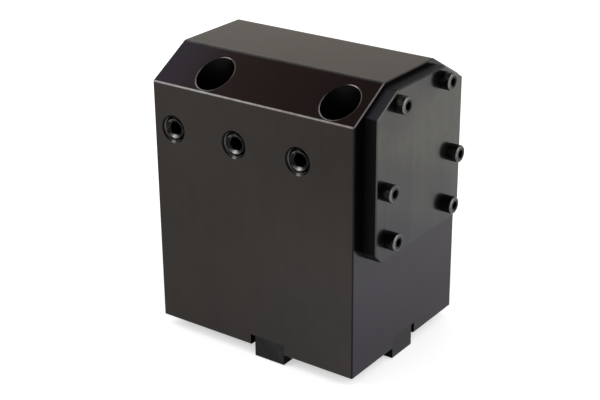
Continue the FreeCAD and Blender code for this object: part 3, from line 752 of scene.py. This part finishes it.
def thread_steel(finish):
    """Oiled thread of the tapped clamp holes, with bright crests."""
    make, shader, where = new_material("Tapped Thread Steel")
    along = make.split(where)[1]
    rings = make.group("Turned Rings", Along=along, Pitch=0.12 * MM)
    bloom = make.group(
        "Oxide Bloom", Vector=where, Warm=finish.oxide_warm, Violet=finish.oxide_violet,
        Cool=finish.oxide_cool, Scale=200.0, Mottle=0.3)
    tint = make.blend(make.times(rings["Tone"], 0.25), bloom["Color"], finish.bare_steel_and_highlight)
    make.feed(shader, Base_Color=tint, Metallic=1.0, Roughness=make.scaled(rings["Tone"], 0.2, 0.2))
    make.roughen(shader, make.times(rings["Height"], 0.004))
    return make.material


def seal_rubber(finish):
    """Moulded black rubber with a fine matt skin and a dusty bloom."""
    make, shader, where = new_material("Seal Rubber")
    bloom = make.group(
        "Oxide Bloom", Vector=where, Warm=finish.rubber, Violet=finish.rubber, Cool=finish.dusty_rubber,
        Scale=150.0, Mottle=0.5)
    grain = make.group("Ground Grain", Vector=where, Stretch=(1.0, 1.0, 1.0), Scale=5000.0)
    make.feed(shader, Base_Color=bloom["Color"], Metallic=0.0,
              Roughness=make.scaled(grain["Tone"], 0.25, 0.5))
    make.roughen(shader, make.times(grain["Height"], 0.006))
    return make.material


GROUPS = {"Edge Wear": edge_wear_group, "Hole Rim": hole_rim_group, "Ground Grain": ground_grain_group,
          "Turned Rings": turned_rings_group, "Oxide Bloom": oxide_bloom_group,
          "Handling Marks": handling_marks_group}


def give_material(piece, material):
    """The material in the piece's first slot, and no other."""
    piece.data.materials.clear()
    piece.data.materials.append(material)


def screw_frame(node, axis_number, outward):
    """A screw's centre line from its node's box: its outer end, its axis outwards, a side vector."""
    low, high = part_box(node)
    origin = (low + high) / 2
    origin[axis_number] = high[axis_number] if outward > 0 else low[axis_number]
    axis, side = Vector(), Vector()
    axis[axis_number] = outward
    side[(axis_number + 1) % 3] = 1.0
    return origin, axis, side


def cap_screw(name, node, axis_number, outward, sizes):
    """Socket head cap screw.

    Head: radius times (1 - depth x triangle wave) round the knurl, a bevel at both ends, then a
    socket whose radius is the hexagon's and whose floor is a 120 degree cone. Shank: a thread.
    """
    low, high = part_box(node)
    total = high[axis_number] - low[axis_number]
    columns = 2 * sizes.knurl_ridges
    origin, axis, side = screw_frame(node, axis_number, outward)
    head, bevel = sizes.head_radius, sizes.head_bevel
    knurl = head - sizes.knurl_depth * (np.arange(columns) % 2)
    hexagon = hexagon_radius(angles(columns), sizes.head_hex)
    corner = sizes.head_hex / math.sqrt(3)
    floor = -sizes.head_hex_depth
    under = -sizes.head_height
    root = sizes.cap_radius - THREAD_DEPTH * sizes.cap_pitch
    end_radius = root - 0.05 * MM
    neck = under - 0.4 * MM
    head_rows = [
        (floor - 0.4 * corner, 0.0), (floor, hexagon * 0.55), (floor, hexagon),
        (-sizes.head_cone, hexagon),
        (0.0, corner + sizes.head_cone), (0.0, head - bevel - 0.05 * MM),
        (-0.08 * bevel, head - 0.75 * bevel), (-0.3 * bevel, head - 0.35 * bevel),
        (-0.65 * bevel, head - 0.1 * bevel), (-bevel, knurl), (under / 2, knurl),
        (under + 0.12 * MM, knurl), (under, head - 0.2 * MM),
        (under, sizes.cap_radius + 0.02 * MM), (neck, sizes.cap_radius - 0.01 * MM), (neck, end_radius),
    ]
    thread = screw_thread(-total, neck, sizes.cap_pitch, sizes.cap_radius, root, end_radius, columns)
    parts = [turned_rows(head_rows, columns), thread,
             turned_rows([(-total, end_radius), (-total, 0.0)], columns)]
    return turned_piece(name, parts, columns, origin, axis, side)


def clamp_screw(name, node, sizes, columns=72):
    """Socket set screw: bevelled thread all along, a hexagon socket in a cone, a dog point."""
    low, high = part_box(node)
    total = high.y - low.y
    origin, axis, side = screw_frame(node, 1, -1)
    hexagon = hexagon_radius(angles(columns), sizes.clamp_hex)
    corner = sizes.clamp_hex / math.sqrt(3)
    root = sizes.clamp_radius - THREAD_DEPTH * sizes.clamp_pitch
    end_radius = root - 0.06 * MM
    floor = -sizes.clamp_hex_depth
    start = sizes.point_length - total
    socket = turned_rows([
        (floor - 0.45 * corner, 0.0), (floor, hexagon * 0.55), (floor, hexagon),
        (-sizes.clamp_cone, hexagon), (0.0, corner + sizes.clamp_cone),
        (0.0, (corner + sizes.clamp_cone + end_radius) / 2), (0.0, end_radius),
    ], columns)
    thread = screw_thread(start, 0.0, sizes.clamp_pitch, sizes.clamp_radius, root, end_radius, columns)
    point = sizes.point_radius
    tip = turned_rows([
        (start, end_radius), (start, point), (0.3 * MM - total, point), (-total, point - 0.3 * MM),
        (-total, 0.0),
    ], columns)
    return turned_piece(name, [socket, thread, tip], columns, origin, axis, side)


def tapped_thread(name, node, sizes, columns=72):
    """Thread of a tapped clamp hole, from its rim to the bore.

    The same helix as the screw's, a gap wider, opened by a cone at the rim; a thin sleeve closes it
    on the hole's wall.
    """
    origin, axis, side = screw_frame(node, 1, -1)
    outer_end = BLOCK_LOW.y + 0.72 * MM
    bore_end = -20.1 * MM
    high, low = -(outer_end - origin.y), -(bore_end - origin.y)
    root = sizes.clamp_radius - THREAD_DEPTH * sizes.clamp_pitch
    wall = sizes.clamp_radius + sizes.thread_gap + 0.026 * MM
    crest = wall - 0.012 * MM
    place, radius, shift, _ = thread_rows(
        low, high, sizes.clamp_pitch, crest, root + sizes.thread_gap, columns,
        swell=-0.5 * sizes.thread_gap)
    flare = crest - np.minimum(high - place, wall)
    radius = np.minimum(np.maximum(radius, flare), crest)
    sleeve = turned_rows([(high, crest), (high, wall), (low, wall), (low, radius[0])], columns)
    return turned_piece(name, [(place, radius, shift), sleeve], columns, origin, axis, side)


def keyhole(offset, sizes, columns):
    """Outline round the bore end and the port's lobe at an offset: a long arc, a straight side down,
    a half turn round the port and a straight side up, as (y, z) for each column."""
    big = sizes.bore_radius + offset
    small = sizes.port_radius + offset
    left, right = sizes.port_y - small, sizes.port_y + small
    start = math.atan2(-math.sqrt(big ** 2 - right ** 2), right)
    end = math.atan2(-math.sqrt(big ** 2 - left ** 2), left) + 2 * math.pi
    arc_count, line_count = columns * 5 // 8, columns // 16
    half_count = columns - arc_count - 2 * line_count
    arc = np.linspace(start, end, arc_count, endpoint=False)
    half = np.linspace(math.pi, 2 * math.pi, half_count, endpoint=False)
    left_top = sizes.bore_height - math.sqrt(big ** 2 - left ** 2)
    right_top = sizes.bore_height - math.sqrt(big ** 2 - right ** 2)
    down = np.linspace(left_top, sizes.port_height, line_count, endpoint=False)
    up = np.linspace(sizes.port_height, right_top, line_count, endpoint=False)
    y = np.concatenate(
        [big * np.cos(arc), np.full(line_count, left), sizes.port_y + small * np.cos(half),
        np.full(line_count, right)])
    z = np.concatenate(
        [sizes.bore_height + big * np.sin(arc), down, sizes.port_height + small * np.sin(half), up])
    return y, z


def rounded_section(count, squareness=4.0):
    """Closed section in a unit square: a superellipse, |u|^n + |v|^n = 1, from 0 to 1 both ways."""
    turn = angles(count)
    u = np.sign(np.cos(turn)) * np.abs(np.cos(turn)) ** (2 / squareness)
    v = np.sign(np.sin(turn)) * np.abs(np.sin(turn)) ** (2 / squareness)
    return (u + 1) / 2, (v + 1) / 2


def cover_seal(name, sizes):
    """Moulded seal: at each point of a rounded section, the keyhole outline at that offset."""
    low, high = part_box("cover_seal")
    across, along = rounded_section(20)
    columns = 192
    rings = []
    for share_across, share_along in zip(across, along):
        y, z = keyhole(sizes.margin + sizes.width * share_across, sizes, columns)
        x = np.full(columns, low.x + (high.x - low.x) * share_along)
        rings.append(np.stack([x, y, z], axis=-1))
    rings.append(rings[0])
    return piece_from_grids(name, [(np.array(rings), 0)], 60.0)


def inlet_ring(name, columns=72):
    """Ring seal: a rounded section turned about the inlet's axis."""
    low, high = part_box("inlet_seal")
    across, along = rounded_section(20, 2.6)
    outer = (high.x - low.x) / 2
    width = 1.5 * MM
    radial = np.append(outer - width * across, outer - width * across[0])
    axial = np.append(low.z + (high.z - low.z) * along, low.z + (high.z - low.z) * along[0])
    centre = ((low.x + high.x) / 2, (low.y + high.y) / 2, 0.0)
    shape = (len(radial), columns)
    points = place_turned(
        np.broadcast_to(axial[:, None], shape), np.broadcast_to(radial[:, None], shape), columns, centre,
        (0, 0, 1), (1, 0, 0))
    return piece_from_grids(name, [(points, 0)], 60.0)


class HOLDER_OT_finish_steel(Operator):
    """Give the block, the cover plate and the keys their steel finishes"""

    bl_idname = "holder.finish_steel"
    bl_label = "Finish Steel"

    def execute(self, context):
        finish = context.scene.holder_finish
        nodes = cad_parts
        give_material(nodes["body"], block_steel(finish))
        give_material(nodes["cover_plate"], plate_steel(finish))
        for side in ("front", "back", "left", "right"):
            give_material(nodes[f"key_{side}"], key_steel(finish, f"key_{side}"))
        return {"FINISHED"}


class HOLDER_OT_add_cap_screws(Operator):
    """Add the cap screws of the cover plate and of the keys"""

    bl_idname = "holder.add_cap_screws"
    bl_label = "Add Cap Screws"

    def execute(self, context):
        sizes, finish = context.scene.holder_screws, context.scene.holder_finish
        places = [(f"cover_screw_{i}", 0, 1) for i in range(1, 7)]
        places += [(f"key_screw_{side}", 2, -1) for side in ("front", "back", "left", "right")]
        for node, axis_number, outward in places:
            piece = cap_screw(f"{node}_cap", node, axis_number, outward, sizes)
            origin, axis, _ = screw_frame(node, axis_number, outward)
            give_material(piece, screw_steel(
                finish, f"Black {node.replace('_', ' ').title()}", tuple(origin), axis,
                sizes.head_radius, (sizes.head_hex / math.sqrt(3), sizes.head_cone), 0.34, 0.0))
            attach(piece, HOLDER)
            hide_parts(node)
        return {"FINISHED"}


class HOLDER_OT_add_clamp_screws(Operator):
    """Add the three clamp screws, each on its own body"""

    bl_idname = "holder.add_clamp_screws"
    bl_label = "Add Clamp Screws"

    def execute(self, context):
        sizes, finish = context.scene.holder_screws, context.scene.holder_finish
        for i in range(1, 4):
            node = f"clamp_screw_{i}"
            piece = clamp_screw(f"{node}_set", node, sizes)
            origin, axis, _ = screw_frame(node, 1, -1)
            give_material(piece, screw_steel(
                finish, f"Black Clamp Screw {i}", tuple(origin), axis,
                sizes.clamp_radius, (sizes.clamp_hex / math.sqrt(3), sizes.clamp_cone), 0.0, 0.25))
            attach(piece, f"clamp_{i}")
            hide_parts(node)
        return {"FINISHED"}


class HOLDER_OT_add_threads(Operator):
    """Add the threads of the three tapped clamp holes"""

    bl_idname = "holder.add_threads"
    bl_label = "Add Threads"

    def execute(self, context):
        sizes = context.scene.holder_screws
        material = thread_steel(context.scene.holder_finish)
        for i in range(1, 4):
            piece = tapped_thread(f"clamp_thread_{i}", f"clamp_screw_{i}", sizes)
            give_material(piece, material)
            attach(piece, HOLDER)
        return {"FINISHED"}


class HOLDER_OT_add_seals(Operator):
    """Add the moulded cover seal and the ring of the coolant inlet"""

    bl_idname = "holder.add_seals"
    bl_label = "Add Seals"

    def execute(self, context):
        rubber = seal_rubber(context.scene.holder_finish)
        for piece, node in (
            (cover_seal("cover_seal_moulded", context.scene.holder_seals), "cover_seal"),
            (inlet_ring("inlet_seal_ring"), "inlet_seal")):
            give_material(piece, rubber)
            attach(piece, HOLDER)
            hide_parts(node)
        return {"FINISHED"}


def soft_lamp(name, toward, distance, size, power):
    """Square area lamp in a direction from the block's middle, facing it."""
    lamp = bpy.data.objects.new(name, bpy.data.lights.new(name, "AREA"))
    lamp.data.shape = "SQUARE"
    lamp.data.size = size
    lamp.data.energy = power
    direction = Vector(toward).normalized()
    middle = (CAD_LOW + CAD_HIGH) / 2
    lamp.location = middle + direction * distance
    lamp.rotation_mode = "QUATERNION"
    lamp.rotation_quaternion = direction.to_track_quat("Z", "Y")
    bpy.context.scene.collection.objects.link(lamp)
    return lamp


def studio_floor(studio):
    """Pale square floor just under the keys, white to the eye and in gloss, open from below."""
    half = studio.floor_size / 2
    level = CAD_LOW.z
    mesh = bpy.data.meshes.new("studio_floor")
    mesh.from_pydata(
        [(-half, -half, level), (half, -half, level), (half, half, level), (-half, half, level)], [],
        [(0, 1, 2, 3)])
    floor = bpy.data.objects.new("studio_floor", mesh)
    bpy.context.scene.collection.objects.link(floor)
    make, shader, where = new_material("Studio Floor")
    rays = make.add("ShaderNodeLightPath").outputs
    seen = make.times(make.most(rays["Is Camera Ray"], rays["Is Transmission Ray"]), 0.5)
    glow = make.scaled(rays["Is Glossy Ray"], studio.floor_gloss, seen)
    pale = make.noise(where, 3.0, 2.0, 0.5)
    tone = make.ramp(pale, 0.2, 0.8, 0.80, 0.82)
    tone = make.times(tone, make.scaled(rays["Is Glossy Ray"], -0.53, 1.0))
    make.feed(shader, Base_Color=make.join(tone, tone, tone), Roughness=0.9, Specular_IOR_Level=0.0,
              Emission_Color=(1.0, 1.0, 1.0, 1.0), Emission_Strength=glow)
    clear = make.add("ShaderNodeBsdfTransparent").outputs[0]
    below = make.add("ShaderNodeNewGeometry").outputs["Backfacing"]
    mix = make.add("ShaderNodeMixShader", {0: below, 1: shader.outputs[0], 2: clear}).outputs[0]
    make.plug(make.tree.nodes["Material Output"].inputs["Surface"], mix)
    give_material(floor, make.material)


def studio_world(studio):
    """White room: white to the eye, greyer overhead in the object's gloss, even in its light."""
    world = bpy.data.worlds.new("Studio")
    bpy.context.scene.world = world
    world.use_nodes = True
    make = Nodes(world.node_tree)
    background = world.node_tree.nodes["Background"]
    rays = make.add("ShaderNodeLightPath").outputs
    direction = make.add("ShaderNodeTexCoord").outputs["Generated"]
    rise = make.split(direction)[2]
    gloss = make.ramp(rise, 0.74, 0.87, studio.side_gloss, studio.overhead)
    gloss = make.plus(gloss, make.ramp(rise, 0.92, 0.995, 0.0, studio.zenith))
    strength = make.add(
        "ShaderNodeMix", {0: rays["Is Glossy Ray"], 2: studio.world_light, 3: gloss},
        data_type="FLOAT").outputs[0]
    strength = make.add(
        "ShaderNodeMix", {0: make.most(rays["Is Camera Ray"], rays["Is Transmission Ray"]), 2: strength,
        3: 1.0}, data_type="FLOAT").outputs[0]
    background.inputs["Color"].default_value = (1.0, 1.0, 1.0, 1.0)
    make.plug(background.inputs["Strength"], strength)


def studio_camera(studio):
    """Camera at the photograph's angle. Its rows are right, up and back, then rolled."""
    azimuth, elevation, roll = studio.azimuth, studio.elevation, studio.roll
    back = Vector(
        (math.sin(azimuth) * math.cos(elevation), -math.cos(azimuth) * math.cos(elevation),
        math.sin(elevation)))
    right = Vector((math.cos(azimuth), math.sin(azimuth), 0.0))
    up = back.cross(right)
    turned_right = right * math.cos(roll) + up * math.sin(roll)
    turned_up = up * math.cos(roll) - right * math.sin(roll)
    camera = bpy.data.objects.new("studio_camera", bpy.data.cameras.new("studio_camera"))
    camera.data.sensor_width = 36.0
    camera.data.sensor_fit = "HORIZONTAL"
    camera.data.lens = studio.lens
    camera.data.clip_start, camera.data.clip_end = 0.01, 20.0
    rotation = Matrix((turned_right, turned_up, back)).transposed()
    camera.matrix_world = Matrix.Translation(studio.camera_place) @ rotation.to_4x4()
    bpy.context.scene.collection.objects.link(camera)
    bpy.context.scene.camera = camera


class HOLDER_OT_add_stage(Operator):
    """Add the floor, the room's light, three soft lamps and the camera"""

    bl_idname = "holder.add_stage"
    bl_label = "Add Stage"

    def execute(self, context):
        studio = context.scene.holder_studio
        context.scene.view_settings.view_transform = "Standard"
        studio_world(studio)
        studio_floor(studio)
        soft_lamp("key_lamp", (-0.535, -0.70, 0.47), 0.9, 0.32, studio.key_power)
        soft_lamp("rim_lamp", (-0.53, -0.39, 0.73), 0.9, 0.30, studio.rim_power)
        soft_lamp("fill_lamp", (0.95, 0.15, 0.55), 1.0, 1.0, studio.fill_power)
        studio_camera(studio)
        return {"FINISHED"}


class HOLDER_PT_sidebar(Panel):
    """Sidebar panel with every step and its sizes"""

    bl_idname = "HOLDER_PT_sidebar"
    bl_label = "Boring Bar Holder"
    bl_space_type = "VIEW_3D"
    bl_region_type = "UI"
    bl_category = "Bar Holder"

    def draw(self, context):
        scene, layout = context.scene, self.layout
        for group, steps in PANEL_ROWS:
            box = layout.box()
            settings = getattr(scene, group)
            for name in settings.__annotations__:
                box.prop(settings, name)
            for step in steps:
                box.operator(step)


PANEL_ROWS = (
    ("holder_studio", ("holder.add_stage",)),
    ("holder_finish", ("holder.finish_steel",)),
    ("holder_screws", ("holder.add_cap_screws", "holder.add_clamp_screws", "holder.add_threads")),
    ("holder_seals", ("holder.add_seals",)),
)
SETTINGS = {"holder_studio": HolderStudio, "holder_finish": HolderFinish,
            "holder_screws": HolderScrewSizes, "holder_seals": HolderSealSizes}
CLASSES = (*SETTINGS.values(), HOLDER_OT_add_stage, HOLDER_OT_finish_steel, HOLDER_OT_add_cap_screws,
           HOLDER_OT_add_clamp_screws, HOLDER_OT_add_threads, HOLDER_OT_add_seals, HOLDER_PT_sidebar)


def register():
    """Register the classes and hang the settings on the scene."""
    for kind in CLASSES:
        bpy.utils.register_class(kind)
    for name, kind in SETTINGS.items():
        setattr(bpy.types.Scene, name, PointerProperty(type=kind))


def unregister():
    """Take the settings and the classes away again."""
    for name in SETTINGS:
        delattr(bpy.types.Scene, name)
    for kind in reversed(CLASSES):
        bpy.utils.unregister_class(kind)


def main():
    """Register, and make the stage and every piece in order."""
    register()
    bpy.ops.holder.add_stage()
    bpy.ops.holder.finish_steel()
    bpy.ops.holder.add_cap_screws()
    bpy.ops.holder.add_clamp_screws()
    bpy.ops.holder.add_threads()
    bpy.ops.holder.add_seals()


if __name__ == "__main__":
    main()
